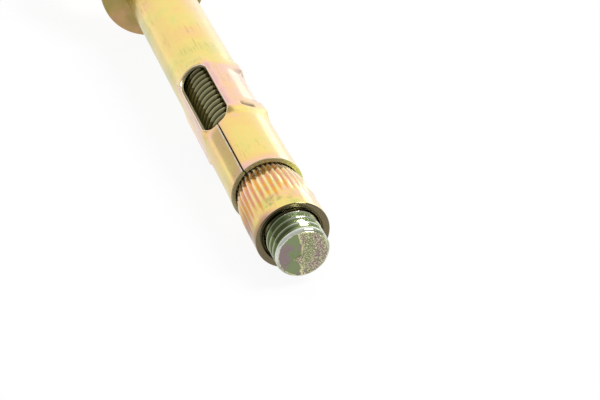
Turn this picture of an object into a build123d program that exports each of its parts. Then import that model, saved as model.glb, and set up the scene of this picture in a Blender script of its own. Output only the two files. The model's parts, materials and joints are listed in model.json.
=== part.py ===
"""Ring anchor bolt: a sleeve anchor for an 8 mm hole, with a closed ring eye bent from its M6 bolt.

Four pieces, as they come apart on a bench: the bolt with its ring, the washer, the rolled
expansion sleeve and the knurled cone nut.  Each is drawn along +X with the washer's bearing
face at X = 0 and the tip at the far end, and the whole is then laid down as it comes to rest.
"""
import math
import os

from build123d import *

# bolt and ring (millimetres)
THREAD_D = 6.0          # crest diameter of the M6 thread, drawn plain
THREAD_START = 21.0     # where the thread begins, from the bearing face
ROD_D = 5.3             # rod that the ring is bent from
EYE_D = 11.0            # clear inside of the ring
NECK_BEND_R = 4.65      # bend between shank and ring, to the middle of the rod
EYE_GAP_DEG = 18.5      # the ring stops this far short of the shank
TIP_OUT = 3.3           # stud beyond the cone nut
TIP_CHAMFER = 0.3

# washer
WASHER_D = 14.0
WASHER_T = 1.2
WASHER_CLEARANCE = 0.6  # round the rod, on the radius
WASHER_TURN = 45        # degrees the loose washer lies turned, so a flat of its meshed rim is down
RING_SEAT_GAP = 0.2     # between the ring and the washer
WALL_CLEARANCE = 0.1    # from the sleeve to where the washer bears on the wall

# expansion sleeve, rolled from sheet
SHEET_T = 0.5
STUD_CLEARANCE = 0.5    # between thread and sleeve, on the radius
SLEEVE_LEN = 50.0
LEG_COUNT = 3
TONGUE_LEN = 10.0       # from a window to the sleeve's tip end
WINDOW_LEN = 12.3
WINDOW_W = 4.0
WINDOW_CORNER_R = 1.5
SLIT_W = 0.15
PRESS_RISE = 0.45       # how far the long edges of a pressed leg stand out
PRESS_CROWN = 0.04      # crown left in the middle of a pressed leg
PRESS_SOFT_END = 3.2    # run-in of the pressed part towards the ring
PRESS_SHARP_END = 1.3   # and towards the tip, where it ends with the window
DENT_DROP = 0.42        # the one leg edge that is knocked in
DENT_LEN = 5.0          # how much of that edge is down
DENT_BACK = 17.0        # its middle, from the sleeve's tip end
ROLL_DEG = 42.2         # turn of the front window about the axis, as it lies

# cone nut
NUT_OUT = 8.7           # length that shows beyond the sleeve
NUT_IN = 0.9            # length inside the sleeve
NUT_BARREL_LEN = 3.5    # from the sleeve's end to the full diameter
BARREL_BANDS = 3        # straight bands that make up the barrel's curve
MOUTH_CLEARANCE = 0.13  # between cone and sleeve at the mouth, on the radius
THREAD_CLEARANCE = 0.03
NUT_LIP_WALL = 0.26     # wall left round the bore at the small end
COUNTERSINK = 0.42
NUT_CHAMFER = 0.12
FLUTE_COUNT = 36
FLUTE_DEPTH = 0.19
FLUTE_FADE = 1.2        # where the flutes begin to run out, from the sleeve's end
FLUTE_END = 6.0         # and where they have run out
FLUTE_LAST_DEPTH = 0.01 # what is left of them there

# what follows from them
thread_r = THREAD_D / 2
rod_r = ROD_D / 2
washer_r = WASHER_D / 2
washer_bore_r = rod_r + WASHER_CLEARANCE
sleeve_in_r = thread_r + STUD_CLEARANCE
sleeve_r = sleeve_in_r + SHEET_T
nut_end = SLEEVE_LEN + NUT_OUT
tip = nut_end + TIP_OUT
nut_bore_r = thread_r + THREAD_CLEARANCE
window_tip_end = SLEEVE_LEN - TONGUE_LEN
window_ring_end = window_tip_end - WINDOW_LEN
leg_pitch = 360 / LEG_COUNT
leg_half = math.radians(leg_pitch / 2) - math.asin(WINDOW_W / 2 / sleeve_r)
barrel_stations = [NUT_BARREL_LEN * i / BARREL_BANDS for i in range(BARREL_BANDS + 1)]


def along(x):
    """Plane across the axis at x, with its own X up the world Z."""
    return Plane(origin=(x, 0, 0), x_dir=(0, 0, 1), z_dir=(1, 0, 0))


def rod_between(x0, x1, radius):
    return extrude(along(x0) * Circle(radius), x1 - x0)


def turned(profile):
    """Solid of revolution about the bolt's axis from (x, radius) corners, a face for each edge."""
    face = make_face(Polyline(*profile, close=True))
    return revolve(face, Axis.X, clean=False)


def ring_bolt():
    eye_r = EYE_D / 2 + rod_r
    eye_x = -(WASHER_T + RING_SEAT_GAP + rod_r + eye_r)
    neck_x = eye_x + math.sqrt(eye_r * (eye_r + 2 * NECK_BEND_R))
    meet = math.atan2(NECK_BEND_R, neck_x - eye_x)
    stop = 2 * math.pi - math.radians(EYE_GAP_DEG)

    def on_eye(angle):
        return (eye_x + eye_r * math.cos(angle), eye_r * math.sin(angle))

    def on_neck(angle):
        return (
            neck_x - NECK_BEND_R * math.sin(angle),
            NECK_BEND_R - NECK_BEND_R * math.cos(angle),
        )

    neck_turn = math.pi / 2 - meet
    with BuildLine() as path:
        Line((THREAD_START, 0), (neck_x, 0))
        ThreePointArc((neck_x, 0), on_neck(neck_turn / 2), on_eye(meet))
        ThreePointArc(on_eye(meet), on_eye((meet + stop) / 2), on_eye(stop))
    section = Plane(origin=(THREAD_START, 0, 0), z_dir=(-1, 0, 0)) * Circle(rod_r)
    eye = sweep(section, path=path.line)
    stud = turned([
        (THREAD_START, 0),
        (THREAD_START, thread_r),
        (tip - TIP_CHAMFER, thread_r),
        (tip, thread_r - TIP_CHAMFER),
        (tip, 0),
    ])
    return eye + stud


def washer():
    """Flat disc whose tip side is two rings: one seats the sleeve, the outer one bears on the wall."""
    disc = turned([
        (-WASHER_T, washer_bore_r),
        (-WASHER_T, washer_r),
        (0, washer_r),
        (0, sleeve_r + WALL_CLEARANCE),
        (0, washer_bore_r),
    ])
    return disc.rotate(Axis.X, WASHER_TURN)


def tube_outline(x, inset, pressed, dent):
    """Closed outline of the sleeve at x: one arc over each leg and one over each window.

    pressed 0 is a plain circle; pressed 1 is three flattened legs whose long edges stand out.
    dent is how far one edge of the first leg is knocked back in.
    """
    edge_r = sleeve_r + PRESS_RISE
    flat_r = edge_r * math.cos(leg_half) + PRESS_CROWN
    points = []
    for leg in range(LEG_COUNT):
        middle = math.radians(leg_pitch) * (leg - 0.5)
        low = high = sleeve_r + pressed * PRESS_RISE
        crown = sleeve_r + pressed * (flat_r - sleeve_r)
        if leg == 0:
            low -= dent
        points += [
            (low, middle - leg_half),
            (crown, middle),
            (high, middle + leg_half),
            (None, middle + math.radians(leg_pitch) / 2),
        ]
    for i, (radius, angle) in enumerate(points):
        if radius is None:
            after = points[(i + 1) % len(points)][0]
            points[i] = ((points[i - 1][0] + after) / 2, angle)
    ring = [
        ((r - inset) * math.cos(a), (r - inset) * math.sin(a))
        for r, a in points
    ]
    ring.append(ring[0])
    with BuildLine() as line:
        for i in range(0, len(ring) - 1, 2):
            ThreePointArc(ring[i], ring[i + 1], ring[i + 2])
    return along(x) * make_face(line.line)


def sleeve_body(inset):
    """The sleeve as a solid bar, drawn in by inset from its outer skin."""
    press_full = window_ring_end + PRESS_SHARP_END
    press_start = press_full - PRESS_SOFT_END
    press_stop = window_tip_end - PRESS_SHARP_END
    dent_middle = SLEEVE_LEN - DENT_BACK
    press_done = press_stop + PRESS_SHARP_END
    stations = [
        (press_start, 0, 0),
        (press_full, 1, 0),
        (dent_middle - DENT_LEN / 2, 1, DENT_DROP),
        (dent_middle + DENT_LEN / 2, 1, DENT_DROP),
        (press_stop, 1, 0),
        (press_done, 0, 0),
    ]
    pressed_part = loft([tube_outline(x, inset, *shape) for x, *shape in stations], ruled=True)
    ring_part = rod_between(0, press_start, sleeve_r - inset)
    tip_part = rod_between(press_done, SLEEVE_LEN, sleeve_r - inset)
    return pressed_part + ring_part + tip_part


def window_cutter(angle):
    reach = sleeve_r + PRESS_RISE + SHEET_T
    centre = (window_ring_end + window_tip_end) / 2
    shape = RectangleRounded(WINDOW_LEN, WINDOW_W, WINDOW_CORNER_R)
    block = extrude(Plane(origin=(centre, 0, 0), x_dir=(1, 0, 0), z_dir=(0, 0, 1)) * shape, reach)
    return block.rotate(Axis.X, angle)


def slit_cutter(x0, angle):
    reach = sleeve_r + PRESS_RISE + SHEET_T
    length = SLEEVE_LEN + SHEET_T - x0
    block = Pos(x0 + length / 2, 0, reach / 2) * Box(length, SLIT_W, reach)
    return block.rotate(Axis.X, angle)


def expansion_sleeve():
    sleeve = sleeve_body(0) - sleeve_body(SHEET_T)
    for i in range(LEG_COUNT):
        sleeve -= window_cutter(i * leg_pitch)
        sleeve -= slit_cutter(window_tip_end - SHEET_T, i * leg_pitch)
    sleeve -= slit_cutter(-SHEET_T, leg_pitch)
    return sleeve.rotate(Axis.X, ROLL_DEG)


def nut_radius(x):
    """Outer radius of the cone nut at x, measured from the sleeve's end."""
    rise = sleeve_r - (sleeve_in_r - MOUTH_CLEARANCE)
    bow = (NUT_BARREL_LEN ** 2 + rise ** 2) / (2 * rise)
    if x >= NUT_BARREL_LEN:
        return sleeve_r
    if x >= 0:
        return sleeve_r - bow + math.sqrt(bow ** 2 - (NUT_BARREL_LEN - x) ** 2)
    small = nut_bore_r + NUT_LIP_WALL
    return small + (sleeve_r - rise - small) * (1 + x / NUT_IN)


def fluted_outline(x):
    """Zigzag outline of the nut at x: a crest and a valley for each flute."""
    fade = max(0, x - FLUTE_FADE) / (FLUTE_END - FLUTE_FADE)
    crest = nut_radius(x) - FLUTE_LAST_DEPTH * fade
    valley = crest - FLUTE_DEPTH * (1 - fade) - FLUTE_LAST_DEPTH * fade
    corners = []
    for i in range(2 * FLUTE_COUNT):
        angle = math.pi * i / FLUTE_COUNT
        reach = valley if i % 2 else crest
        corners.append((reach * math.cos(angle), reach * math.sin(angle)))
    return along(SLEEVE_LEN + x) * make_face(Polyline(*corners, close=True))


def cone_nut():
    small_end = SLEEVE_LEN - NUT_IN
    flutes_done = SLEEVE_LEN + FLUTE_END
    fluted = loft([fluted_outline(x) for x in (-NUT_IN, *barrel_stations, FLUTE_END)], ruled=True)
    smooth = turned([
        (flutes_done, 0),
        (flutes_done, sleeve_r),
        (nut_end - NUT_CHAMFER, sleeve_r),
        (nut_end, sleeve_r - NUT_CHAMFER),
        (nut_end, 0),
    ])
    bore = turned([
        (small_end, 0),
        (small_end, nut_bore_r),
        (nut_end - COUNTERSINK, nut_bore_r),
        (nut_end, nut_bore_r + COUNTERSINK),
        (nut_end, 0),
    ])
    return fluted + smooth - bore


def lay_down(pieces):
    """Rest the washer's rim and the nut's edge on Z = 0, centred over the origin."""
    foot_x = nut_end - NUT_CHAMFER
    lean = math.degrees(math.atan2(washer_r - sleeve_r, foot_x))
    tipped = {name: piece.rotate(Axis.Y, lean) for name, piece in pieces.items()}
    boxes = [piece.bounding_box() for piece in tipped.values()]
    x_mid = (min(b.min.X for b in boxes) + max(b.max.X for b in boxes)) / 2
    y_mid = (min(b.min.Y for b in boxes) + max(b.max.Y for b in boxes)) / 2
    rise = washer_r * math.cos(math.radians(lean))
    shift = Pos(-x_mid, -y_mid, rise)
    return {name: shift * piece for name, piece in tipped.items()}


pieces = lay_down({
    "ring_bolt": ring_bolt(),
    "washer": washer(),
    "expansion_sleeve": expansion_sleeve(),
    "cone_nut": cone_nut(),
})
os.makedirs("parts", exist_ok=True)
for name, piece in pieces.items():
    export_step(piece, f"parts/{name}.step")
    box = piece.bounding_box()
    print(name, [round(v, 2) for v in (*box.min, *box.max)], "volume", round(piece.volume, 2))
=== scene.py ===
# %% [markdown]
# # A sleeve anchor with a ring, in yellow zinc
# The anchor is four pieces of plated steel: a bolt bent into a ring, a washer, a rolled sleeve
# and a fluted cone nut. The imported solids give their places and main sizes, and smaller sizes are
# named where they are first needed. Each piece is modelled here once more with the small forms
# that catch the light, such as the thread, the rounded edges and the flutes, and then gets its
# plating.

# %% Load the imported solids
import json
import math
import bpy
import bmesh
from mathutils import Euler, Matrix, Vector, noise

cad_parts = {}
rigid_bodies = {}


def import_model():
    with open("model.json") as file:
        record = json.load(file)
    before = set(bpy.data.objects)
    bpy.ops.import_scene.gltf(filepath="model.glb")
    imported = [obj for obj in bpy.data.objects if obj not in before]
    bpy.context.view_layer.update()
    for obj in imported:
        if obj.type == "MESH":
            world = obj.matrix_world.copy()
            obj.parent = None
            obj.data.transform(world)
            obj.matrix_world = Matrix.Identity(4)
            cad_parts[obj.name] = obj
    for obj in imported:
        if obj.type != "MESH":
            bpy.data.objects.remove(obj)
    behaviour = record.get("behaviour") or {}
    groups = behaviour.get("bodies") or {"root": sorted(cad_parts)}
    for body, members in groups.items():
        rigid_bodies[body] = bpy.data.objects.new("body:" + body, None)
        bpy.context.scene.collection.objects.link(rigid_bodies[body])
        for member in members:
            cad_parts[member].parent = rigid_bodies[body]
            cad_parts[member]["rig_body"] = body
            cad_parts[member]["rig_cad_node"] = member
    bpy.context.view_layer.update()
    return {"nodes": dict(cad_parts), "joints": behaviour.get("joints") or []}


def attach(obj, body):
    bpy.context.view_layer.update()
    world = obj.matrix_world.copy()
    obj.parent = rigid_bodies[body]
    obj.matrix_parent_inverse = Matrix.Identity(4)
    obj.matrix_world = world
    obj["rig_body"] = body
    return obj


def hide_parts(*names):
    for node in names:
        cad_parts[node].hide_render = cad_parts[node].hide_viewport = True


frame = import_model()

# %% [markdown]
# All pieces are turned about one axis, the bolt's. It leans a little, because the anchor rests on
# its washer's rim and on the nut. So each piece is drawn in the bolt's own frame, with X along
# the bolt from the washer's bearing face, and one matrix then lays it down where the packed
# solids are. The ring's joint in the record has that axis and that origin.

# %% The bolt's own frame
MM = 0.001
ring_turn = next(joint for joint in frame["joints"] if joint["name"] == "ring_turn")
bearing_point = Vector(ring_turn["pos_m"])
to_tip = -Vector(ring_turn["axis"]).normalized()
sideways = Vector((0, 1, 0))
upwards = to_tip.cross(sideways)
lay_down = Matrix.Translation(bearing_point) @ Matrix((to_tip, sideways, upwards)).transposed().to_4x4()
pick_up = lay_down.inverted()
print("the bolt leans", round(math.degrees(math.asin(-to_tip.z)), 2), "degrees down towards its tip")

# %% [markdown]
# Sizes that have to agree with the solids are measured on them and not written a second time.


# %% Measure the solids
def corners_of(node):
    """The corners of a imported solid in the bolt's own frame, in millimetres."""
    return [pick_up @ v.co / MM for v in frame["nodes"][node].data.vertices]


def along_bolt(node):
    """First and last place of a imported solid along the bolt."""
    places = [corner.x for corner in corners_of(node)]
    return min(places), max(places)


SLEEVE_LENGTH = round(along_bolt("expansion_sleeve")[1], 2)
NUT_START, NUT_END = (round(place, 2) for place in along_bolt("cone_nut"))
TIP = round(along_bolt("ring_bolt")[1], 2)
HOLE_R = round(max(corner.yz.length for corner in corners_of("cone_nut")), 2)
print("sleeve", SLEEVE_LENGTH, "nut", NUT_START, NUT_END, "tip", TIP, "hole radius", HOLE_R)

# %% [markdown]
# ## Helpers for modelling
# An operator works on whatever is selected, so every step starts by clearing the selection. These
# helpers are the moves that several pieces share. A finished piece is laid down with its place in
# its mesh, and its object stays at the origin.

# %% Select, open and close
MERGE_WITHIN, TOUCHING = 0.002, 0.001
SHARP_EDGE = math.radians(60)


def clear_selection():
    """Return to object mode with nothing selected."""
    if bpy.context.object and bpy.context.object.mode != "OBJECT":
        bpy.ops.object.mode_set(mode="OBJECT")
    bpy.ops.object.select_all(action="DESELECT")


def only(piece):
    """Select this piece alone and make it the active one."""
    clear_selection()
    piece.select_set(True)
    bpy.context.view_layer.objects.active = piece


def edit(piece, mode="VERT", select="DESELECT"):
    """Open a piece in edit mode, with nothing or with everything selected."""
    only(piece)
    bpy.ops.object.mode_set(mode="EDIT")
    bpy.ops.mesh.select_mode(type=mode)
    bpy.ops.mesh.select_all(action=select)


def leave_edit():
    """Close the open piece."""
    bpy.ops.object.mode_set(mode="OBJECT")


# %% Draw, cut and round
def drawn_outline(points, closed):
    """A new piece that is only a line through (along, radius) points."""
    clear_selection()
    bpy.ops.mesh.primitive_plane_add(size=1)
    piece = bpy.context.object
    edit(piece)
    outline = bmesh.from_edit_mesh(piece.data)
    bmesh.ops.delete(outline, geom=outline.verts[:], context="VERTS")
    corners = [outline.verts.new((along, 0, radius)) for along, radius in points]
    ends = corners[1:] + corners[:1] if closed else corners[1:]
    for first, second in zip(corners, ends):
        outline.edges.new((first, second))
    bmesh.update_edit_mesh(piece.data)
    leave_edit()
    return piece


def cut_across(place, beyond, closed):
    """Cut the open piece at a place and drop what lies beyond: +1 towards the tip, -1 back."""
    bpy.ops.mesh.select_all(action="SELECT")
    bpy.ops.mesh.bisect(
        plane_co=(place, 0, 0), plane_no=(beyond, 0, 0), clear_outer=True, use_fill=closed
    )


def apply_modifier(piece, kind, **settings):
    """Add one modifier with its settings and apply it."""
    only(piece)
    modifier = piece.modifiers.new(kind.title(), kind)
    for name, value in settings.items():
        setattr(modifier, name, value)
    bpy.ops.object.modifier_apply(modifier=modifier.name)


def round_edges(piece, width, segments):
    """Bevel every sharp edge of a piece."""
    apply_modifier(
        piece, "BEVEL", width=width, segments=segments, limit_method="ANGLE", angle_limit=SHARP_EDGE
    )


# %% Copy and finish
def face_outwards(piece):
    """Merge doubles and turn every face outwards."""
    edit(piece, select="SELECT")
    bpy.ops.mesh.remove_doubles(threshold=MERGE_WITHIN)
    bpy.ops.mesh.normals_make_consistent(inside=False)
    leave_edit()


def copy_in_bolt_frame(node):
    """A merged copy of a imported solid, in millimetres in the bolt's own frame."""
    copy = frame["nodes"][node].copy()
    copy.data = copy.data.copy()
    copy.parent = None
    bpy.context.scene.collection.objects.link(copy)
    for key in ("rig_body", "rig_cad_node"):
        if key in copy:
            del copy[key]
    copy.data.materials.clear()
    copy.data.transform(Matrix.Scale(1 / MM, 4) @ pick_up)
    face_outwards(copy)
    return copy


def finish_piece(piece, name, body, node, smooth_below=35):
    """Name a piece drawn in millimetres, lay it down in metres, and hand it to the frame."""
    only(piece)
    piece.name = name
    piece.data.name = name
    piece.data.transform(lay_down @ Matrix.Scale(MM, 4))
    bpy.ops.object.shade_smooth_by_angle(angle=math.radians(smooth_below))
    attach(piece, body)
    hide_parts(node)
    print(name, "has", len(piece.data.polygons), "faces")


# %% Two helpers for sizes
def ease(t):
    """0 below 0, 1 above 1, and a smooth rise between."""
    t = min(1.0, max(0.0, t))
    return t * t * (3 - 2 * t)


def stations(start, *runs):
    """Grid lines from a start through (end, cells) runs, each run evenly divided."""
    lines = [start]
    for end, cells in runs:
        start = lines[-1]
        lines += [start + (end - start) * i / cells for i in range(1, cells + 1)]
    return lines


print("stations by halves to 1 and then to 3:", stations(0, (1, 2), (3, 1)))

# %% [markdown]
# ## The expansion sleeve
# The real sleeve is punched out of sheet as a flat blank, rolled into a tube and pressed flat on
# the three legs between its windows. Booleans on a finished tube leave ragged faces round each
# window, so this follows the maker: a flat grid is cut, gets the sheet's thickness and its
# softened edges while it is flat, and is rolled last. Its cells are smaller where the form is finer.

# %% Sizes of the blank
SHEET_T = 0.5
LEGS = 3
LEG_DEG = 360 / LEGS
WINDOW_FROM, WINDOW_TO = 27.8, 39.85
WINDOW_HALF_DEG = 27
WINDOW_HALF = HOLE_R * math.radians(WINDOW_HALF_DEG)
SLIT = 0.15
CREASE_AT, CREASE_REACH = 37.8, 0.6
FINER_FROM = WINDOW_FROM - 3
leg_width = math.tau * HOLE_R / LEGS
print("a leg takes", round(leg_width, 3), "mm of the blank, and a window", round(2 * WINDOW_HALF, 3))

rows = stations(
    0, (FINER_FROM, 60), (WINDOW_FROM, 12), (CREASE_AT - CREASE_REACH, 40), (CREASE_AT + CREASE_REACH, 16),
    (WINDOW_TO, 9), (SLEEVE_LENGTH, 40),
)
columns = [SLIT / 2]
for leg in range(LEGS):
    start = leg * leg_width
    columns += stations(
        start + SLIT / 2,
        (start + WINDOW_HALF, 8),
        (start + leg_width - WINDOW_HALF, 18),
        (start + leg_width - SLIT / 2, 8),
    )[1:]
    if leg < LEGS - 1:
        columns.append(start + leg_width + SLIT / 2)
print("the blank has", len(rows) - 1, "by", len(columns) - 1, "cells")

# %% Cut the flat blank
clear_selection()
bpy.ops.mesh.primitive_grid_add(x_subdivisions=len(rows) - 1, y_subdivisions=len(columns) - 1, size=2)
sleeve = bpy.context.object
for v in sleeve.data.vertices:
    row = round((v.co.x + 1) / 2 * (len(rows) - 1))
    column = round((v.co.y + 1) / 2 * (len(columns) - 1))
    v.co = (rows[row], columns[column], 0)


def from_slit(across):
    """Distance across the blank from the nearest slit line."""
    return abs((across + leg_width / 2) % leg_width - leg_width / 2)


edit(sleeve, "FACE")
blank = bmesh.from_edit_mesh(sleeve.data)
for face in blank.faces:
    middle = face.calc_center_median()
    in_window = WINDOW_FROM < middle.x < WINDOW_TO and from_slit(middle.y) < WINDOW_HALF
    in_slit = middle.x > WINDOW_TO and from_slit(middle.y) < SLIT / 2
    face.select = in_window or in_slit
bmesh.update_edit_mesh(sleeve.data)
bpy.ops.mesh.delete(type="FACE")
leave_edit()
print("the cut blank has", len(sleeve.data.polygons), "faces")

# %% [markdown]
# The windows have rounded corners, as the punch has. Each square corner is drawn in to its arc, and
# the cells behind it follow by less and less, so that no cell is pinched.

# %% Round the windows' corners
WINDOW_CORNER = 1.8
CORNER_FOLLOW = 1.6
HAIR = 0.01


def rounded_corner(a, b):
    """Where a point at (a, b) from the corner's centre goes, when the corner becomes an arc."""
    far = max(a, b)
    if min(a, b) <= 0 or far < WINDOW_CORNER - HAIR or far > WINDOW_CORNER + CORNER_FOLLOW:
        return a, b
    turn = math.pi / 4 * min(a, b) / far
    arc_a, arc_b = (math.cos(turn), math.sin(turn)) if a >= b else (math.sin(turn), math.cos(turn))
    follow = WINDOW_CORNER * (1 - ease((far - WINDOW_CORNER) / CORNER_FOLLOW))
    return a + follow * (arc_a - a / far), b + follow * (arc_b - b / far)


for v in sleeve.data.vertices:
    slit_line = round(v.co.y / leg_width) * leg_width
    side = 1 if v.co.y >= slit_line else -1
    end = 1 if v.co.x >= (WINDOW_FROM + WINDOW_TO) / 2 else -1
    edge = WINDOW_TO if end > 0 else WINDOW_FROM
    a = (v.co.x - edge) * end + WINDOW_CORNER
    b = (v.co.y - slit_line) * side - WINDOW_HALF + WINDOW_CORNER
    a, b = rounded_corner(a, b)
    v.co.x = edge + (a - WINDOW_CORNER) * end
    v.co.y = slit_line + (b + WINDOW_HALF - WINDOW_CORNER) * side
print("the windows' corners have a radius of", WINDOW_CORNER, "mm")

# %% [markdown]
# A punch draws the sheet's upper edge down as it enters, so the outer rim of a window is rounder
# than its other edges. That rim is bevelled by itself first, and one Bevel modifier then softens
# whatever is still sharp.

# %% Give the blank its thickness and soft edges
RIM_SOFTNESS, RIM_SEGMENTS = 0.16, 4
EDGE_SOFTNESS, EDGE_SEGMENTS = 0.06, 3
BY_WINDOW = 0.1

apply_modifier(sleeve, "SOLIDIFY", thickness=SHEET_T, offset=-1)
edit(sleeve, "EDGE")
sheet = bmesh.from_edit_mesh(sleeve.data)
for edge in sheet.edges:
    middle = (edge.verts[0].co + edge.verts[1].co) / 2
    on_top = all(v.co.z > -TOUCHING for v in edge.verts)
    beside_window = from_slit(middle.y) < WINDOW_HALF + BY_WINDOW
    along_window = WINDOW_FROM - BY_WINDOW < middle.x < WINDOW_TO + BY_WINDOW
    sharp = len(edge.link_faces) == 2 and edge.calc_face_angle() > SHARP_EDGE
    edge.select = on_top and beside_window and along_window and sharp
bmesh.update_edit_mesh(sleeve.data)
bpy.ops.mesh.bevel(offset=RIM_SOFTNESS, segments=RIM_SEGMENTS)
leave_edit()
round_edges(sleeve, EDGE_SOFTNESS, EDGE_SEGMENTS)
print("the sheet is", round(sleeve.dimensions.z, 2), "mm thick, with", len(sleeve.data.polygons), "faces")

# %% [markdown]
# Rolling turns the distance across the blank into an angle about the bolt. The radius is the hole's
# everywhere but on the pressed part, where each leg is flat and its long edges stand out. One leg
# has an edge knocked in and a short crease, and the tip end is opened a hair by the nut. All of
# this is one formula for the radius, so the steps between the parts stay smooth.

# %% Shape of the rolled and pressed sleeve
PRESS_RISE = 0.45
PRESS_FROM, PRESS_FULL, PRESS_LAST, PRESS_TO = 25.6, 29.0, 38.5, 39.8
FLAT_HALF_DEG = 30
FALL_PAST_RIM = 0.35
KNOCKED_LEG, LIFTED_LEG = 2, 0
DENT_FROM, DENT_TO, DENT_DROP = 30.0, 36.0, 0.42
DENT_RUN_IN, DENT_RUN_OUT = 1.2, 1.5
CREASE_DEPTH, CREASE_WIDTH = 0.26, 0.28
CREASE_FROM_DEG, CREASE_TO_DEG, CREASE_FADE_DEG = -18, 2, 8
CREASE_SLANT, CREASE_MIDDLE_DEG = 0.02, -3
LIP_LIFT, LIP_RUN, LIP_DEG = 0.04, 3, 12
TIP_FLARE, FLARE_RUN = 0.06, 4
flat_r = (HOLE_R + PRESS_RISE) * math.cos(math.radians(FLAT_HALF_DEG))


def crease(x, off):
    """How deep the short fold is at x and at an angle from the middle of its leg, as a share."""
    begun = ease((off - CREASE_FROM_DEG) / CREASE_FADE_DEG)
    ended = ease((off - CREASE_TO_DEG) / CREASE_FADE_DEG)
    across = x - CREASE_AT + CREASE_SLANT * (off - CREASE_MIDDLE_DEG)
    return begun * (1 - ended) * math.exp(-(across / CREASE_WIDTH) ** 2)


def sleeve_radius(x, angle):
    """Outer radius at x and at an angle from the front window, in degrees."""
    number = math.floor(angle / LEG_DEG)
    off = angle - (number + 0.5) * LEG_DEG
    leg = number % LEGS
    begun = ease((x - PRESS_FROM) / (PRESS_FULL - PRESS_FROM))
    ended = ease((x - PRESS_LAST) / (PRESS_TO - PRESS_LAST))
    rise = flat_r / math.cos(math.radians(min(abs(off), FLAT_HALF_DEG))) - HOLE_R
    rim_deg = LEG_DEG / 2 - WINDOW_HALF_DEG
    if abs(off) > rim_deg:
        rise *= 1 - FALL_PAST_RIM * ease((abs(off) - rim_deg) / WINDOW_HALF_DEG)
    if leg == KNOCKED_LEG and off < 0:
        dent_begun = ease((x - DENT_FROM + DENT_RUN_IN) / DENT_RUN_IN)
        dent_ended = ease((x - DENT_TO) / DENT_RUN_OUT)
        rise -= DENT_DROP * dent_begun * (1 - dent_ended) * ease(-off / FLAT_HALF_DEG)
    radius = HOLE_R + begun * (1 - ended) * rise
    if leg == KNOCKED_LEG:
        radius -= CREASE_DEPTH * crease(x, off)
    if leg == LIFTED_LEG:
        radius += LIP_LIFT * ease((x - WINDOW_TO) / LIP_RUN) * (1 - ease(angle / LIP_DEG))
    return radius + TIP_FLARE * ease((x - SLEEVE_LENGTH + FLARE_RUN) / FLARE_RUN)


print("a pressed leg is", round(flat_r, 2), "mm from the axis at its middle")

# %% [markdown]
# Two things that the plating needs are easy to know now and hard to find later: how deep in the
# sheet a point lies, and whether it is in the crease. Both are stored on the mesh.

# %% Roll and press it
FRONT_SLIT = 2
FRONT_WINDOW_DEG = 42.2
FOLD_SPREAD = 0.3

sheet_depth = sleeve.data.attributes.new("sheet_depth", "FLOAT", "POINT")
folded = sleeve.data.attributes.new("folded", "FLOAT", "POINT")
for v in sleeve.data.vertices:
    sheet_depth.data[v.index].value = -v.co.z / SHEET_T
    angle = math.degrees(v.co.y / HOLE_R) - FRONT_SLIT * LEG_DEG
    folded.data[v.index].value = crease(v.co.x, angle + LEG_DEG / 2) ** FOLD_SPREAD
    turn = math.radians(angle + FRONT_WINDOW_DEG)
    radius = sleeve_radius(v.co.x, angle) + v.co.z
    v.co.y = -radius * math.sin(turn)
    v.co.z = radius * math.cos(turn)
face_outwards(sleeve)
finish_piece(sleeve, "rolled_sleeve", "sleeve", "expansion_sleeve")

# %% [markdown]
# ## The cone nut
# It is turned from bar, so its half section is drawn once and spun about the bolt's axis: a
# barrel that swells from the sleeve's mouth, a straight end with a rounded lip, a countersink, the
# bore, and a small cone inside the sleeve. Each flute gets the same whole number of steps.

# %% Spin the half section
BARREL_LENGTH = 3.5
MOUTH_R = HOLE_R - SHEET_T - 0.13
SMALL_R, BORE_R = 3.29, 3.03
LIP_R, LIP_ROUND = BORE_R + 0.22, 0.14
SINK_DEPTH, SINK_END = 0.42, 0.5
FLUTES = 36
STEPS_PER_FLUTE = 10


def barrel_radius(out):
    """Outer radius of the nut at a distance out from the sleeve's end."""
    if out >= BARREL_LENGTH:
        return HOLE_R
    if out < 0:
        return MOUTH_R + (MOUTH_R - SMALL_R) * out / (SLEEVE_LENGTH - NUT_START)
    rise = HOLE_R - MOUTH_R
    bow = (BARREL_LENGTH ** 2 + rise ** 2) / (2 * rise)
    return HOLE_R - bow + math.sqrt(bow ** 2 - (BARREL_LENGTH - out) ** 2)


nut_lines = stations(NUT_START - SLEEVE_LENGTH, (0, 3), (NUT_END - SLEEVE_LENGTH - LIP_ROUND, 48))
section = [(SLEEVE_LENGTH + out, barrel_radius(out)) for out in nut_lines]
for degrees in (22.5, 45, 67.5, 90):
    turn = math.radians(degrees)
    section.append((NUT_END - LIP_ROUND * (1 - math.sin(turn)), HOLE_R - LIP_ROUND * (1 - math.cos(turn))))
# Down the countersink, along the bore and out, with each edge broken by 0.1 mm or less.
section += [(NUT_END, LIP_R + 0.06), (NUT_END - 0.03, LIP_R), (NUT_END - SINK_DEPTH, BORE_R + 0.03)]
section += [(NUT_END - SINK_END, BORE_R), (NUT_START + 0.1, BORE_R), (NUT_START, BORE_R + 0.05)]

nut = drawn_outline(section, closed=True)
edit(nut, select="SELECT")
bpy.ops.mesh.spin(
    steps=FLUTES * STEPS_PER_FLUTE, angle=math.tau, center=(0, 0, 0), axis=(1, 0, 0), use_auto_merge=True
)
leave_edit()
face_outwards(nut)
print("the spun nut has", len(nut.data.polygons), "faces")

# %% [markdown]
# The flutes are rolled in afterwards, as on the real nut: a shallow V between thin crests, deepest
# at the mouth of the sleeve, that runs out before the lip. No two end at quite the same place, and
# on the left flank they go further. Moving the points inwards by a formula keeps the mesh even,
# where 36 cutters would not. The depth is stored for the plating, which wears off the crests.

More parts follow.
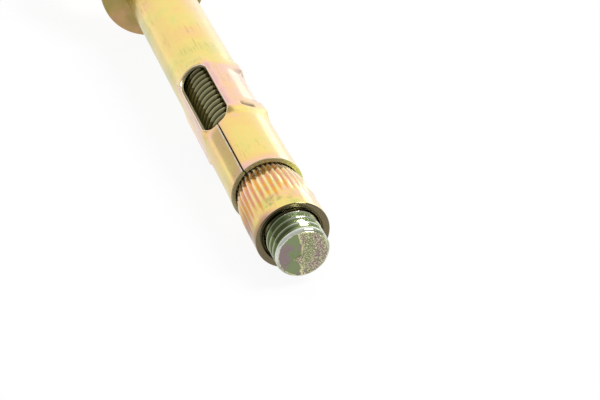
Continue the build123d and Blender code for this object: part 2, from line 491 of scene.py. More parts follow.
# %% Roll in the flutes
FLUTE_DEPTH = 0.22
FLUTE_FADE, FLUTE_END = 1.5, 6.9
FLUTE_END_SHIFT, FLUTE_END_SPREAD = -0.5, 1.3
LEFT_FLANK_DEG, LEFT_FLANK_REACH = 80, 1.6
V_FULLNESS, FADE_CURVE = 0.8, 1.5
OUTSIDE_R, FLUTES_BEFORE = BORE_R + 0.15, NUT_END - 1


def flute_drop(out, turn):
    """How deep the flutes cut at a distance out from the sleeve and at an angle about the bolt."""
    place = turn / math.tau * FLUTES
    number = math.floor(place)
    from_crest = min(place - number, number + 1 - place) * 2
    toward_left = max(0.0, math.cos(turn + math.radians(LEFT_FLANK_DEG)))
    uneven = FLUTE_END_SHIFT + FLUTE_END_SPREAD * noise.noise((number * 0.71, 3.0, 0.0))
    run_out = FLUTE_END + LEFT_FLANK_REACH * toward_left + uneven
    fade = 1 - min(1.0, max(0.0, (out - FLUTE_FADE) / (run_out - FLUTE_FADE))) ** FADE_CURVE
    return FLUTE_DEPTH * fade * from_crest ** V_FULLNESS, from_crest * min(1.0, 2 * fade)


flute_depth = nut.data.attributes.new("flute_depth", "FLOAT", "POINT")
for v in nut.data.vertices:
    radius = math.hypot(v.co.y, v.co.z)
    if radius > OUTSIDE_R and v.co.x < FLUTES_BEFORE:
        drop, valley = flute_drop(v.co.x - SLEEVE_LENGTH, math.atan2(v.co.y, v.co.z))
        flute_depth.data[v.index].value = valley
        v.co.y *= 1 - drop / radius
        v.co.z *= 1 - drop / radius
finish_piece(nut, "fluted_nut", "nut", "cone_nut", smooth_below=50)

# %% [markdown]
# ## The bolt
# The bolt is one rod, bent into a ring at one end and threaded at the other. The ring and its
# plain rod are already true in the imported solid, so a copy of it is kept up to just short of where
# the thread begins, out of sight in the sleeve.

# %% Keep the ring and the plain rod
THREAD_FROM = 21.0
ROD_TO = THREAD_FROM - 0.2
ROD_SOFTNESS = 0.18

bolt = copy_in_bolt_frame("ring_bolt")
edit(bolt)
cut_across(ROD_TO, 1, closed=True)
leave_edit()
round_edges(bolt, ROD_SOFTNESS, 3)
print("ring and rod have", len(bolt.data.polygons), "faces")

# %% [markdown]
# A rolled thread is one ridge carried round the rod. The Screw modifier does just that with the
# outline of one pitch, and gives a true helix where a stack of rings would not. The outline's
# points are shares of the pitch and of the height.

# %% Turn the thread
PITCH = 1.0
CREST_R, ROOT_R, LAST_ROOT_R = 2.96, 2.42, 2.68
TURN_STEPS = 72
SPARE_TURNS = 2
one_pitch = (
    (0.00, 0), (0.06, 0.02), (0.12, 0.10), (0.25, 0.48), (0.36, 0.84), (0.41, 0.95), (0.46, 1),
    (0.54, 1), (0.59, 0.95), (0.64, 0.84), (0.75, 0.48), (0.88, 0.10), (0.94, 0.02), (1.00, 0),
)
ridge = [
    (THREAD_FROM - PITCH + along * PITCH, ROOT_R + height * (CREST_R - ROOT_R))
    for along, height in one_pitch
]
turns = round((TIP - THREAD_FROM) / PITCH)
thread = drawn_outline(ridge, closed=False)
apply_modifier(
    thread, "SCREW", axis="X", angle=math.tau, screw_offset=PITCH, steps=TURN_STEPS,
    render_steps=TURN_STEPS, iterations=turns + SPARE_TURNS,
    use_merge_vertices=True, merge_threshold=TOUCHING,
)
print("the thread turns", turns, "times, in", len(thread.data.polygons), "faces")

# %% [markdown]
# The last turns of the stud are a little flattened where it was sheared off, so the root rises
# towards the crest there. The radii are changed first, and the helix is then cut to length. The
# cut at the tip stays open for the sheared face.

# %% Flatten the last turns and cut it to length
RIM_DEPTH = 0.42
RIM_START = TIP - RIM_DEPTH
SQUASHED_LENGTH, SQUASH_RUN = 4.2, 3.6
CREST_LOSS = 0.05


def squashed_radius(x, radius):
    """Thread radius after the shear: shallower turns towards the tip."""
    late = ease((x - (TIP - SQUASHED_LENGTH)) / SQUASH_RUN)
    root = ROOT_R + (LAST_ROOT_R - ROOT_R) * late
    height = (radius - ROOT_R) / (CREST_R - ROOT_R)
    return root + height * (CREST_R - root) - CREST_LOSS * late * height


for v in thread.data.vertices:
    radius = math.hypot(v.co.y, v.co.z)
    wanted = squashed_radius(v.co.x, radius)
    v.co.y *= wanted / radius
    v.co.z *= wanted / radius
edit(thread)
cut_across(THREAD_FROM, -1, closed=True)
cut_across(RIM_START, 1, closed=False)
leave_edit()
tip_boundary = [v for v in thread.data.vertices if abs(v.co.x - RIM_START) < TOUCHING]
print("the open end has", len(tip_boundary), "points")

# %% [markdown]
# The end face has two halves: a smooth one where the blade cut, with a few nicks from it, and a
# rough one, standing higher, where the metal tore. Both are noise in the face's own two
# directions, side and up, so the face is a height field on rings of points. A sculpted face would
# do as well, but it can't be written down.

# %% Form of the sheared face
GRAIN = 2.6
LINE_SHIFT, LINE_WAVE = 0.08, 0.16
BAY_UP, BAY_DEPTH, BAY_WIDTH = -0.7, 0.75, 0.45
BEND_UP, BEND = 0.9, 0.3
TEAR_BLUR = 0.22
TORN_RISE, TORN_ROUGH, CUT_WAVE = 0.13, 0.055, 0.02
NICKS = ((-1.75, 0.72, 0.5), (-1.95, -0.95, 0.6), (-1.15, -0.1, 0.35))
NICK_DEPTH, NICK_WIDTH, NICK_SLOPE = 0.07, 0.07, 0.15
FACE_SINK = 0.10


def shear_line(side, up):
    """Above 0 on the torn half of the end face, below 0 on the cut half."""
    bay = -BAY_DEPTH * math.exp(-((up - BAY_UP) / BAY_WIDTH) ** 2) - BEND * max(0.0, up - BEND_UP)
    wave = LINE_WAVE * noise.fractal((side * GRAIN, up * GRAIN, 5.0), 1.0, 2.0, 3)
    return side + LINE_SHIFT - bay + wave


def torn_share(side, up):
    """0 where the face was cut, 1 where it tore, and a short rise between."""
    return ease(shear_line(side, up) / TEAR_BLUR + 0.5)


def end_height(side, up):
    """How far the sheared face stands out at a place on it."""
    share = torn_share(side, up)
    rough = noise.fractal((side * GRAIN, up * GRAIN, 1.0), 1.0, 2.0, 5)
    smooth = noise.noise((side * 0.8, up * 0.8, 9.0))
    nick = 0
    for nick_side, nick_up, length in NICKS:
        run = ease(1 - abs(side - nick_side) / length)
        beside_nick = up - nick_up - NICK_SLOPE * (side - nick_side)
        nick += NICK_DEPTH * run * math.exp(-(beside_nick / NICK_WIDTH) ** 2)
    return share * (TORN_RISE + TORN_ROUGH * rough) + (1 - share) * (CUT_WAVE * smooth - nick) - FACE_SINK


print("the torn half stands", round(end_height(1.5, 0) - end_height(-0.6, 0.4), 2), "mm above the cut one")

# %% [markdown]
# The open end is drawn in ring by ring: first round the rim, then across the face, in rings close
# enough to look torn. The share of tearing is stored for the plating.

# %% Close the stud with it
RINGS = 44
FACE_R, FACE_DEPTH, FACE_EDGE = 2.66, 0.34, 0.04
FACE_BLEND = 0.18
RAGGED, RAGGED_FROM_R = 0.03, 2.5

edit(thread)
stud = bmesh.from_edit_mesh(thread.data)
for edge in stud.edges:
    if edge.is_boundary and all(v.co.x > RIM_START - HAIR for v in edge.verts):
        edge.select = True
bmesh.update_edit_mesh(thread.data)
rings = [(0.06, 2.91), (0.14, 2.90), (0.22, 2.86), (0.29, 2.80), (0.33, 2.73), (FACE_DEPTH, FACE_R)]
rings += [(FACE_DEPTH, FACE_R * (1 - ring / RINGS)) for ring in range(1, RINGS)]
for depth, ring_r in rings:
    bpy.ops.mesh.extrude_region()
    stud = bmesh.from_edit_mesh(thread.data)
    for v in (v for v in stud.verts if v.select):
        now = math.hypot(v.co.y, v.co.z)
        ragged = RAGGED * noise.noise((v.co.y * 1.5, v.co.z * 1.5, 2.0)) if ring_r > RAGGED_FROM_R else 0
        wanted = ring_r + ragged
        v.co = (RIM_START + depth, v.co.y / now * wanted, v.co.z / now * wanted)
    bmesh.update_edit_mesh(thread.data)
bpy.ops.mesh.edge_face_add()
leave_edit()

torn = thread.data.attributes.new("torn", "FLOAT", "POINT")
for v in thread.data.vertices:
    radius = math.hypot(v.co.y, v.co.z)
    on_face = v.co.x > RIM_START + FACE_DEPTH - FACE_EDGE and radius < FACE_R + FACE_EDGE
    if on_face:
        torn.data[v.index].value = torn_share(v.co.y, v.co.z)
        blend = ease((FACE_R + FACE_EDGE - radius) / FACE_BLEND)
        v.co.x += RIM_DEPTH - FACE_DEPTH + blend * end_height(v.co.y, v.co.z)
face_outwards(thread)
only(bolt)
thread.select_set(True)
bpy.ops.object.join()
finish_piece(bolt, "ring_and_stud", "bolt", "ring_bolt", smooth_below=40)

# %% [markdown]
# ## The washer
# A washer is punched from sheet, which leaves soft edges round its rim and its hole. Its solid
# already has the true outline, so the coplanar triangles of a copy are dissolved into plain faces,
# and a Bevel modifier then finds clean edges to round.

# %% Round the washer's edges
WASHER_SOFTNESS = 0.16

washer = copy_in_bolt_frame("washer")
edit(washer, select="SELECT")
bpy.ops.mesh.dissolve_limited(angle_limit=math.radians(1))
leave_edit()
round_edges(washer, WASHER_SOFTNESS, 4)
finish_piece(washer, "punched_washer", "sleeve", "washer")

# %% [markdown]
# ## The plating
# Yellow chromate is a film thinner than a wavelength of light over bright zinc, so its colour
# changes with its thickness, from straw through gold and pink to green. One node group turns a
# film thickness into those colours, and every piece uses it with its own values. A small class does
# the wiring, with a short name for each kind of sum.


# %% Small helpers for nodes
def paint(code):
    """A colour written as on a paint card, turned into the linear values that nodes use."""
    values = [int(code[i:i + 2], 16) / 255 for i in (0, 2, 4)]
    return tuple(v / 12.92 if v <= 0.04045 else ((v + 0.055) / 1.055) ** 2.4 for v in values) + (1.0,)


class Wiring:
    """Places nodes in one tree and links them by name."""

    def __init__(self, tree):
        self.tree = tree

    def put(self, socket, value):
        """Link another node's output to a socket, or set it to a plain value."""
        if isinstance(value, bpy.types.NodeSocket):
            self.tree.links.new(value, socket)
        else:
            socket.default_value = value

    def node(self, kind, inputs=None, **settings):
        """A new node, with its settings and its inputs in place."""
        made = self.tree.nodes.new(kind)
        for name, value in settings.items():
            setattr(made, name, value)
        for name, value in (inputs or {}).items():
            self.put(made.inputs[name], value)
        return made

    def math(self, operation, *values, clamp=False):
        """The result of one Math node."""
        made = self.node("ShaderNodeMath", operation=operation, use_clamp=clamp)
        for socket, value in zip(made.inputs, values):
            self.put(socket, value)
        return made.outputs[0]

    def chain(self, operation, first, *others):
        """The same operation on any number of values, two at a time."""
        for other in others:
            first = self.math(operation, first, other)
        return first

    def plus(self, *values):
        return self.chain("ADD", *values)

    def minus(self, first, second):
        return self.math("SUBTRACT", first, second)

    def times(self, *values):
        return self.chain("MULTIPLY", *values)

    def most(self, *values):
        return self.chain("MAXIMUM", *values)

    def rise(self, value, low, high):
        """0 on low's side and 1 on high's side, eased between them."""
        made = self.node(
            "ShaderNodeMapRange", {"Value": value, "From Min": low, "From Max": high},
            interpolation_type="SMOOTHSTEP",
        )
        return made.outputs["Result"]

    def band(self, value, low, high, soft):
        """1 between low and high, with soft ends."""
        return self.times(self.rise(value, low - soft, low), self.rise(value, high + soft, high))

    def speckle(self, place, scale, detail, distortion=0.0):
        """A noise pattern, mostly between 0.3 and 0.7."""
        inputs = {"Vector": place, "Scale": scale, "Detail": detail, "Distortion": distortion}
        return self.node("ShaderNodeTexNoise", inputs).outputs["Fac"]

    def stored(self, name):
        """A value stored on the mesh."""
        return self.node("ShaderNodeAttribute", attribute_name=name).outputs["Fac"]

    def mix(self, amount, first, second):
        """Two colours mixed: the first at 0 and the second at 1."""
        made = self.node("ShaderNodeMix", data_type="RGBA")
        for number, value in ((0, amount), (6, first), (7, second)):
            self.put(made.inputs[number], value)
        return made.outputs[2]

    def tint(self, colour, *layers):
        """Lay (mask, strength, colour) tints over a colour, one after another."""
        for mask, strength, code in layers:
            colour = self.mix(self.times(mask, strength), colour, paint(code))
        return colour


def new_group(name, inputs, outputs):
    """An empty shader node group with named sockets, and its wiring."""
    group = bpy.data.node_groups.new(name, "ShaderNodeTree")
    for socket_name, kind, value in inputs:
        socket = group.interface.new_socket(socket_name, in_out="INPUT", socket_type=kind)
        if value is not None:
            socket.default_value = value
    for socket_name, kind in outputs:
        group.interface.new_socket(socket_name, in_out="OUTPUT", socket_type=kind)
    wiring = Wiring(group)
    return group, wiring, wiring.node("NodeGroupInput").outputs, wiring.node("NodeGroupOutput").inputs


VALUE, VECTOR, COLOUR = "NodeSocketFloat", "NodeSocketVector", "NodeSocketColor"

# %% [markdown]
# The first group reads a place on the piece and gives it in the bolt's own terms: millimetres along
# the bolt, degrees round it from the front window, and a point for patterns. Masks such as "beside
# the window" are then easy to write, and they stay on the metal from every side.

# %% Group: bolt coordinates
bolt_coordinates, w, given, made = new_group(
    "bolt_coordinates", [("Position", VECTOR, None)],
    [("Along", VALUE), ("Round", VALUE), ("From Window", VALUE), ("Radius", VALUE), ("Place", VECTOR)],
)
offset = w.node("ShaderNodeVectorMath", operation="SUBTRACT")
w.put(offset.inputs[0], given["Position"])
w.put(offset.inputs[1], tuple(bearing_point))


def in_direction(direction):
    """How far the place lies in a direction, in millimetres."""
    product = w.node("ShaderNodeVectorMath", operation="DOT_PRODUCT")
    w.put(product.inputs[0], offset.outputs[0])
    w.put(product.inputs[1], tuple(direction / MM))
    return product.outputs["Value"]


along, side, up = in_direction(to_tip), in_direction(sideways), in_direction(upwards)
turn = w.math("ARCTAN2", w.times(side, -1.0), up)
angle = w.minus(w.math("DEGREES", turn), FRONT_WINDOW_DEG)
half_leg = LEG_DEG / 2
w.put(made["Along"], along)
w.put(made["Round"], angle)
w.put(made["From Window"], w.minus(w.math("FLOORED_MODULO", w.plus(angle, half_leg), LEG_DEG), half_leg))
w.put(made["Radius"], w.math("SQRT", w.plus(w.math("POWER", side, 2.0), w.math("POWER", up, 2.0))))
w.put(made["Place"], w.node("ShaderNodeCombineXYZ", {"X": along, "Y": side, "Z": up}).outputs[0])

# %% [markdown]
# The second group is the film itself. Its thickness is what the piece asks for plus two sizes of
# drift, and a ramp gives the colour. The ramp's order is the real one for chromate on zinc.

# %% Group: chromate film
film_colours = (
    (0.00, "c2c878"), (0.14, "e2da80"), (0.28, "fae488"), (0.42, "fbd683"),
    (0.54, "fbcf9c"), (0.66, "fbccb8"), (0.78, "eab8b8"), (0.90, "c3bf96"), (1.00, "cfd98a"),
)
BROAD_SHARE, SMALL_SHARE = 1.6, 0.5
chromate_film, w, given, made = new_group(
    "chromate_film",
    [("Place", VECTOR, None), ("Thickness", VALUE, 0.3), ("Drift", VALUE, 0.2), ("Patch Size", VALUE, 0.2)],
    [("Colour", COLOUR)],
)
broad = w.speckle(given["Place"], given["Patch Size"], 3.0)
small = w.speckle(given["Place"], w.times(given["Patch Size"], 5.0), 2.0)
both = w.plus(w.times(broad, BROAD_SHARE), w.times(small, SMALL_SHARE))
drift = w.times(w.minus(both, (BROAD_SHARE + SMALL_SHARE) / 2), given["Drift"])
ramp = w.node("ShaderNodeValToRGB", {"Fac": w.math("ADD", given["Thickness"], drift, clamp=True)})
ramp.color_ramp.interpolation = "B_SPLINE"
stops = ramp.color_ramp.elements
while len(stops) > 1:
    stops.remove(stops[0])
stops[0].position = film_colours[0][0]
stops[0].color = paint(film_colours[0][1])
for thickness, code in film_colours[1:]:
    stops.new(thickness).color = paint(code)
w.put(made["Colour"], ramp.outputs["Color"])

# %% [markdown]
# The third group is handling wear: fine scratches in crossing directions, gathered in patches. A
# noise that is stretched far in one direction gives streaks, and only its highest values count as
# scratches. The group gives a height for a Bump node and a mask that dulls the film along each one.

# %% Group: fine scratches
scratch_runs = (
    ((0.3, 0.2, 0.5), 14.0),
    ((1.1, 0.7, -0.4), 11.0),
    ((0.2, 1.3, 1.2), 17.0),
)
fine_scratches, w, given, made = new_group(
    "fine_scratches", [("Place", VECTOR, None), ("Amount", VALUE, 0.5)], [("Height", VALUE), ("Mask", VALUE)]
)
lines = 0.0
for turned_by, stretch in scratch_runs:
    turned = w.node(
        "ShaderNodeMapping",
        {"Vector": given["Place"], "Rotation": Euler(turned_by), "Scale": (0.25, stretch / 3, stretch)},
    )
    streaks = w.speckle(turned.outputs[0], 1.0, 1.0, distortion=0.4)
    lines = w.most(lines, w.rise(streaks, 0.665, 0.72))
patches = w.rise(w.speckle(given["Place"], 0.35, 2.0), 0.42, 0.62)
worn = w.times(lines, patches, given["Amount"])
w.put(made["Mask"], worn)
w.put(made["Height"], w.times(worn, -1.0))

print("there are", len(bpy.data.node_groups), "node groups")

# %% [markdown]
# ## Materials of the four pieces
# Each material starts the same way: the place on the piece, the film and the scratches. What
# differs is how thick the film is and where. Masks are written as places on the bolt, and each tint
# is a row with its mask, strength and colour.


# %% Start of every plated material
def wear_material(piece, material):
    """Put one material on a piece, in place of any other."""
    piece.data.materials.clear()
    piece.data.materials.append(material)
    print(piece.name, "wears", material.name)


class Plated:
    """A metal material with the shared groups in place, and its wiring."""

    def __init__(self, name, patch_size, scratch_amount):
        self.material = bpy.data.materials.new(name)
        self.material.use_nodes = True
        self.material.node_tree.nodes.clear()
        self.w = Wiring(self.material.node_tree)
        position = self.w.node("ShaderNodeTexCoord").outputs["Object"]
        at = self.shared(bolt_coordinates, {"Position": position})
        self.along = at["Along"]
        self.round = at["Round"]
        self.from_window = at["From Window"]
        self.radius = at["Radius"]
        self.place = at["Place"]
        self.patch_size = patch_size
        wear = self.shared(fine_scratches, {"Place": self.place, "Amount": scratch_amount})
        self.scuffs = wear["Mask"]
        self.scratches = wear["Height"]

    def shared(self, group, inputs):
        """The outputs of a shared group."""
        return self.w.node("ShaderNodeGroup", inputs, node_tree=group).outputs

    def film(self, thickness, drift):
        """The film's colour, for a thickness and for how much it drifts."""
        inputs = {"Place": self.place, "Patch Size": self.patch_size, "Thickness": thickness, "Drift": drift}
        return self.shared(chromate_film, inputs)["Colour"]

    def grain(self, scale, detail=3.0):
        """A noise pattern on the piece."""
        return self.w.speckle(self.place, scale, detail)

    def finish(self, piece, colour, roughness, height, depth, metallic=1.0):
        """Wire up the surface, with its bumps' depth in millimetres, and put it on a piece."""
        bump = self.w.node("ShaderNodeBump", {"Height": height, "Strength": 1.0, "Distance": depth * MM})
        surface = {"Base Color": colour, "Roughness": roughness, "Metallic": metallic}
        surface["Normal"] = bump.outputs["Normal"]
        shader = self.w.node("ShaderNodeBsdfPrincipled", surface)
        self.w.node("ShaderNodeOutputMaterial", {"Surface": shader.outputs[0]})
        wear_material(piece, self.material)


# %% [markdown]
# The sleeve is straw-coloured, and its film is made thinner, and so greener, on its left flank as a painted
# reflection. The film is thicker, and so gold and pink, on the pads beside the windows, at the windows'
# edges and towards the tip. Their masks add up to one thickness, so the colour doesn't jump where two of
# them meet.

# %% Sleeve: thickness of the film
plating = Plated("sleeve_chromate", patch_size=0.16, scratch_amount=0.8)
w = plating.w
x = plating.along
round_bolt = plating.round
beside = w.math("ABSOLUTE", plating.from_window)
pads = w.times(w.band(x, PRESS_FULL, PRESS_LAST - 0.6, 1.4), w.rise(beside, 20.0, 32.0))
past_end = w.most(w.minus(WINDOW_FROM, x), w.minus(x, WINDOW_TO))
mm_per_degree = HOLE_R * math.radians(1)
past_side = w.times(w.minus(beside, WINDOW_HALF_DEG), mm_per_degree)
window_edge = w.rise(w.most(past_end, past_side), 1.2, 0.0)
end_edge = w.rise(x, SLEEVE_LENGTH - 1.8, SLEEVE_LENGTH - 0.4)
slit_edge = w.times(w.rise(x, WINDOW_TO, WINDOW_TO + 1), w.rise(beside, 16.0, 1.0))
tip_gold = w.rise(x, PRESS_LAST, WINDOW_TO + 1)
# Painted reflection: the film is thinned on the left flank so that side turns greener.
reflected_green_flank = w.rise(round_bolt, 18.0, 60.0)
thickness = w.plus(
    0.28,
    w.times(pads, 0.36),
    w.times(tip_gold, 0.14),
    w.times(w.most(window_edge, end_edge), 0.18),
    w.times(slit_edge, 0.10),
    w.times(reflected_green_flank, -0.14),
)

# %% [markdown]
# Over the film lie tints: brown along the scratches, darker beside the slit, a painted highlight on its
# lifted lip and on the rounded rims of the cuts, painted shade in the crease, olive on the cut walls and the
# end, painted shade on the left flank and a painted highlight on the right flank. They are tints, not film
# colours, because no thickness of the film gives them.

# %% Sleeve: tints and surface
depth = w.stored("sheet_depth")
cut_wall = w.rise(depth, 0.4, 0.6)
# Painted highlight: a pale tint on the rounded outer edges of the cut rims.
rim_highlight = w.times(w.rise(depth, 0.01, 0.1), w.rise(x, SLEEVE_LENGTH - 4, SLEEVE_LENGTH - 6))
beside_slit = w.times(w.rise(x, WINDOW_TO - 0.2, WINDOW_TO + 1.2), w.band(round_bolt, 3.0, 19.0, 8.0))
lifted_lip = w.times(w.rise(x, WINDOW_TO, WINDOW_TO + 0.6), w.band(round_bolt, 0.7, 2.6, 1.4))
# Painted highlight: a broken pale line on the slit's lifted lip.
broken_lip_highlight = w.times(lifted_lip, w.rise(plating.grain(1.6), 0.25, 0.5))
# Painted shade: the crease gets a dark brown tint, and is made rougher and less metallic.
fold = w.rise(w.stored("folded"), 0.15, 0.9)
colour = w.tint(
    plating.film(thickness, 0.5),
    (plating.scuffs, 0.35, "b08f58"),
    (rim_highlight, 0.8, "fbe9dc"),
    (beside_slit, 0.6, "a08c5a"),
    (broken_lip_highlight, 0.8, "dfd6cc"),
    # Painted shade: a darker brown tint on the left flank.
    (w.band(round_bolt, 36.0, 66.0, 12.0), 0.38, "b4a37b"),
    # Painted highlight: a pale tint towards the right flank.
    (w.rise(round_bolt, -42.0, -80.0), 0.42, "fff4de"),
    (fold, 0.85, "66543e"),
    (w.rise(depth, 0.36, 0.5), 1.0, "aaa47c"),
)
end_cut = w.rise(x, SLEEVE_LENGTH - 0.12, SLEEVE_LENGTH - 0.04)
end_olive = w.mix(w.rise(round_bolt, -95.0, -55.0), paint("d6d77c"), paint("aaa67e"))
colour = w.mix(end_cut, colour, end_olive)

pressed_end = w.times(w.band(x, PRESS_LAST - 0.4, PRESS_TO, 0.5), w.rise(round_bolt, -30.0, -45.0))
roughness = w.plus(
    0.16,
    w.times(plating.grain(0.9), 0.14),
    w.times(cut_wall, 0.25),
    w.times(w.most(fold, pressed_end), 0.3),
)
height = w.plus(plating.scratches, w.times(plating.grain(2.2), 0.5))
bare_edge_and_crease = w.most(end_cut, cut_wall, w.times(fold, 1.5))
metallic = w.minus(1.0, w.times(bare_edge_and_crease, 0.6))
plating.finish(sleeve, colour, roughness, height, 0.012, metallic)

# %% [markdown]
# On the nut the film is thick in the valleys, so the valleys are gold and pink, and the crests are pale,
# partly where the film is rubbed off and partly as a painted highlight. The left flank and the outside by
# the lip get painted shade, the lower left flank a painted brown reflection and the right flank a painted
# highlight. The stored depth of the flutes tells crest from valley, which position alone could not do as
# simply.

# %% Nut: crests, valleys and lip
plating = Plated("nut_chromate", patch_size=0.42, scratch_amount=0.6)
w = plating.w
x = plating.along
round_bolt = plating.round
valley = w.stored("flute_depth")
fluted = w.rise(x, SLEEVE_LENGTH + FLUTE_END, SLEEVE_LENGTH + FLUTE_FADE)
# The pale crests are partly film rubbed off and partly a painted highlight.
crest = w.times(w.rise(valley, 0.3, 0.02), fluted)
# Painted shade: on the left flank the film is made thicker and a brown tint lies over it, so that side is
# darker and more copper.
left_flank_shade = w.rise(round_bolt, -20.0, 45.0)
# Painted reflection: a dark brown tint low on the left flank, standing in for a brown surface reflected from
# below.
low_flank_reflection = w.times(w.rise(round_bolt, 15.0, 62.0), w.rise(x, SLEEVE_LENGTH + 1.5, SLEEVE_LENGTH + 7))
# Painted shade: a brown tint on the left side of the outside near the lip.
lip_flank_shade = w.times(w.rise(x, NUT_END - 1.3, NUT_END - 0.2), w.rise(round_bolt, -20.0, 18.0))
torn_place = w.times(w.rise(plating.grain(0.8), 0.42, 0.62), w.band(round_bolt, -42.0, 2.0, 14.0))
torn_patch = w.times(w.band(x, NUT_END - 2.2, NUT_END - 1.4, 0.7), torn_place)
gold = w.mix(w.rise(plating.grain(0.9), 0.4, 0.6), paint("f0a03c"), paint("df8f78"))
colour = plating.film(w.plus(0.34, w.times(left_flank_shade, 0.16)), 0.9)
colour = w.mix(w.times(w.rise(valley, 0.1, 0.8), 0.9), colour, gold)
colour = w.tint(
    colour,
    (crest, 0.9, "fff6e2"),
    (left_flank_shade, 0.25, "a0784e"),
    (low_flank_reflection, 0.85, "74502e"),
    # Painted highlight: a pale tint towards the right flank.
    (w.rise(round_bolt, -45.0, -80.0), 0.4, "fff4de"),
    (lip_flank_shade, 0.6, "74502e"),
    (w.rise(x, NUT_END - 0.14, NUT_END - 0.04), 1.0, "736850"),
    (w.rise(plating.radius, LIP_R, LIP_R - 0.05), 1.0, "8f7a5c"),
    (torn_patch, 0.6, "a9a870"),
)
roughness = w.plus(0.15, w.times(torn_patch, 0.2))
height = w.plus(plating.scratches, w.times(torn_patch, plating.grain(6.0), 2.5))
mouth = w.rise(x, SLEEVE_LENGTH + 1.7, SLEEVE_LENGTH - 0.1)
metallic = w.minus(1.0, w.times(mouth, 0.75))
plating.finish(nut, colour, roughness, height, 0.015, metallic)

# %% [markdown]
# The bolt has three surfaces. The ring and rod have a golden film. The thread has painted shade in its dark
# olive roots and is paler on its crests, and it turns to grey steel at the end of the nut, with painted
# shade on its left side and a painted highlight on its right. The sheared end is grey on its cut half and
# speckled, with painted glints, on its torn half, so the stored share of tearing chooses between two
# colours. Painted highlights lie along the line between the halves, round the face's edge and on the upper
# rim.

# %% Bolt: ring, rod and thread
plating = Plated("bolt_chromate", patch_size=0.3, scratch_amount=0.5)
w = plating.w
x = plating.along
radius = plating.radius
# Painted shade: by radius, the thread's roots are dark olive and its crests paler.
olive = w.mix(w.rise(radius, 2.62, 2.94), paint("57553a"), paint("c2ba8e"))
# Painted shade and highlight: the grey steel is dark on the left side and near white on the right crests.
painted_shade_side = w.rise(plating.round, -48.0, -12.0)
root_steel = w.mix(painted_shade_side, paint("b4c48e"), paint("5c683e"))
crest_steel = w.mix(painted_shade_side, paint("f4f6ea"), paint("a6ac94"))
steel = w.mix(w.rise(radius, 2.78, 2.92), root_steel, crest_steel)
colour = w.mix(w.rise(x, THREAD_FROM - 1, THREAD_FROM), plating.film(0.36, 0.6), olive)
colour = w.mix(w.rise(x, NUT_END - 1, NUT_END), colour, steel)

# %% Bolt: the sheared end
face = w.times(w.rise(x, TIP - 0.3, TIP - 0.2), w.rise(radius, FACE_R + FACE_EDGE, FACE_R - FACE_EDGE))
torn_half = w.stored("torn")
cut_colour = w.mix(w.rise(plating.grain(0.6), 0.42, 0.58), paint("7f8c66"), paint("8d7c7c"))
torn_colour = w.mix(w.rise(plating.grain(0.9), 0.45, 0.58), paint("8f7c7a"), paint("848a66"))
# Painted glints: pale specks on the torn half.
painted_glints = w.rise(plating.grain(7.0, 2.0), 0.47, 0.62)
torn_colour = w.tint(torn_colour, (painted_glints, 0.7, "e9e5b8"))
# Painted highlight: a broken pale line round the face's edge.
broken_edge_highlight = w.rise(plating.grain(2.5), 0.4, 0.55)
face_colour = w.tint(
    w.mix(torn_half, cut_colour, torn_colour),
    # Painted highlight: a pale line along the step between the cut and the torn halves.
    (w.band(torn_half, 0.3, 0.7, 0.3), 0.75, "e8e4ae"),
    (w.times(w.band(radius, FACE_R - 0.06, FACE_R + 0.02, 0.06), broken_edge_highlight), 0.8, "efeab8"),
)
rim = w.times(w.rise(x, RIM_START - 0.02, RIM_START + 0.06), w.minus(1.0, face))
# Painted highlight: the rim's upper side gets a near-white tint and is made less metallic, so that the tint
# shows.
upper_rim_highlight = w.times(rim, w.band(plating.round, -20.0, 50.0, 35.0))
rim_grey = w.mix(w.rise(plating.grain(1.4), 0.42, 0.6), paint("a3ab90"), paint("d9dccb"))
colour = w.mix(w.times(rim, 0.7), colour, rim_grey)
colour = w.tint(colour, (upper_rim_highlight, 0.7, "eef0ec"))
colour = w.mix(face, colour, face_colour)

roughness = w.plus(0.13, w.times(face, 0.2))
height = w.plus(plating.scratches, w.times(face, torn_half, plating.grain(6.0), 7.0))
metallic = w.minus(1.0, w.plus(w.times(rim, 0.12), w.times(upper_rim_highlight, 0.3)))
plating.finish(bolt, colour, roughness, height, 0.015, metallic)

# %% [markdown]
# The washer is duller and browner than the rest, a satin tan in which the film only just shows. So
# one strong tint of two browns lies over the film.

# %% Washer: satin, in two browns
plating = Plated("washer_chromate", patch_size=0.3, scratch_amount=0.7)
w = plating.w
browns = w.mix(w.rise(plating.grain(0.25), 0.35, 0.62), paint("877748"), paint("a98860"))
colour = w.mix(0.85, plating.film(0.42, 0.9), browns)
roughness = w.plus(0.28, w.times(plating.grain(1.2), 0.12))
plating.finish(washer, colour, roughness, plating.scratches, 0.012)

# %% [markdown]
# ## Camera
# A long lens looks down along the anchor from the tip, so that the ring runs out of the picture.
# It is aimed by a direction, since it never has to follow a piece.

# %% Camera
EYE = (0.17223, -0.04337, 0.09348)
LOOKING = Vector((-0.81095, 0.26860, -0.51982))
SENSOR, LENS = 36.0, 97.2

camera_data = bpy.data.cameras.new("camera")
camera_data.sensor_width = SENSOR
camera_data.lens = LENS
camera_data.clip_start = 0.005
camera = bpy.data.objects.new("camera", camera_data)
bpy.context.scene.collection.objects.link(camera)
camera.location = EYE
camera.rotation_euler = LOOKING.to_track_quat("-Z", "Y").to_euler()
bpy.context.scene.camera = camera
print("the camera looks down by", round(-math.degrees(math.asin(LOOKING.normalized().z)), 1), "degrees")

# %% [markdown]
# ## Floor and light
# The floor is white card. White comes out grey under soft light, so the camera and the metal's
# reflections mostly see a plain white glow, and the small rest keeps a soft shadow. Other rays see
# an ordinary matt card.

# %% Floor
CARD_SIZE = 3.0
CARD_TONE = 0.92
GLOW_SHARE = 0.92
WHITE = (1, 1, 1, 1)

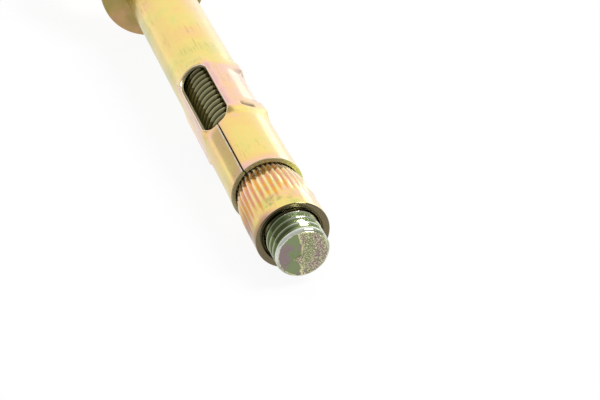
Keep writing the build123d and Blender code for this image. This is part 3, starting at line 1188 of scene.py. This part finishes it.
clear_selection()
bpy.ops.mesh.primitive_grid_add(size=CARD_SIZE, x_subdivisions=8, y_subdivisions=8, location=(0, 0, 0))
floor = bpy.context.object
floor.name = "floor_card"
card = bpy.data.materials.new("white_card")
card.use_nodes = True
card.node_tree.nodes.clear()
w = Wiring(card.node_tree)
matt = w.node("ShaderNodeBsdfDiffuse", {"Color": (CARD_TONE, CARD_TONE, CARD_TONE, 1)})
glow = w.node("ShaderNodeEmission", {"Color": WHITE, "Strength": 1.0})
path = w.node("ShaderNodeLightPath").outputs
seen = w.most(path["Is Camera Ray"], path["Is Glossy Ray"])
card_mix = w.node("ShaderNodeMixShader", {"Fac": w.times(seen, GLOW_SHARE)})
w.put(card_mix.inputs[1], matt.outputs[0])
w.put(card_mix.inputs[2], glow.outputs[0])
w.node("ShaderNodeOutputMaterial", {"Surface": card_mix.outputs[0]})
wear_material(floor, card)

# %% [markdown]
# Plated metal shows its surroundings more than its own colour, so the world's tones shape the
# pieces. Beyond the ring it is white, a little less so on the left. On the camera's side it is
# grey, which darkens the faces turned to the tip, such as the stud's end. The camera itself sees
# plain white.

# %% World
PALE, NEAR_GREY = (0.92, 0.92, 0.92, 1), (0.40, 0.41, 0.39, 1)

world = bpy.data.worlds.new("studio")
bpy.context.scene.world = world
world.use_nodes = True
world.node_tree.nodes.clear()
w = Wiring(world.node_tree)
direction = w.node("ShaderNodeTexCoord").outputs["Generated"]
parts = w.node("ShaderNodeSeparateXYZ", {"Vector": direction}).outputs
toward_right = w.rise(w.plus(parts["Y"], w.times(parts["Z"], 0.6)), -0.7, 0.6)
far_side = w.mix(toward_right, PALE, WHITE)
studio = w.mix(w.rise(parts["X"], -0.1, -0.6), NEAR_GREY, far_side)
backdrop = w.mix(w.node("ShaderNodeLightPath").outputs["Is Camera Ray"], studio, WHITE)
background = w.node("ShaderNodeBackground", {"Color": backdrop, "Strength": 1.0})
w.node("ShaderNodeOutputWorld", {"Surface": background.outputs[0]})
print("the world has", len(world.node_tree.nodes), "nodes")

# %% [markdown]
# Two soft lamps do the rest. One stands high on the right like a window and gives the bright edge
# on every round piece. The weaker one lies low beyond the ring, also on the right.


# %% Lamps
def soft_lamp(name, place, size, power):
    """A square area lamp at a place in metres, facing the middle of the floor."""
    data = bpy.data.lights.new(name, "AREA")
    data.shape = "SQUARE"
    data.size = size
    data.energy = power
    lamp = bpy.data.objects.new(name, data)
    bpy.context.scene.collection.objects.link(lamp)
    lamp.location = place
    lamp.rotation_euler = (-Vector(place)).to_track_quat("-Z", "Y").to_euler()
    print(name, "gives", power, "W")


soft_lamp("window_light", (0.15, 0.40, 0.60), size=0.30, power=4.0)
soft_lamp("side_light", (-0.50, 0.56, 0.06), size=0.34, power=0.35)
bpy.context.scene.view_settings.view_transform = "Standard"
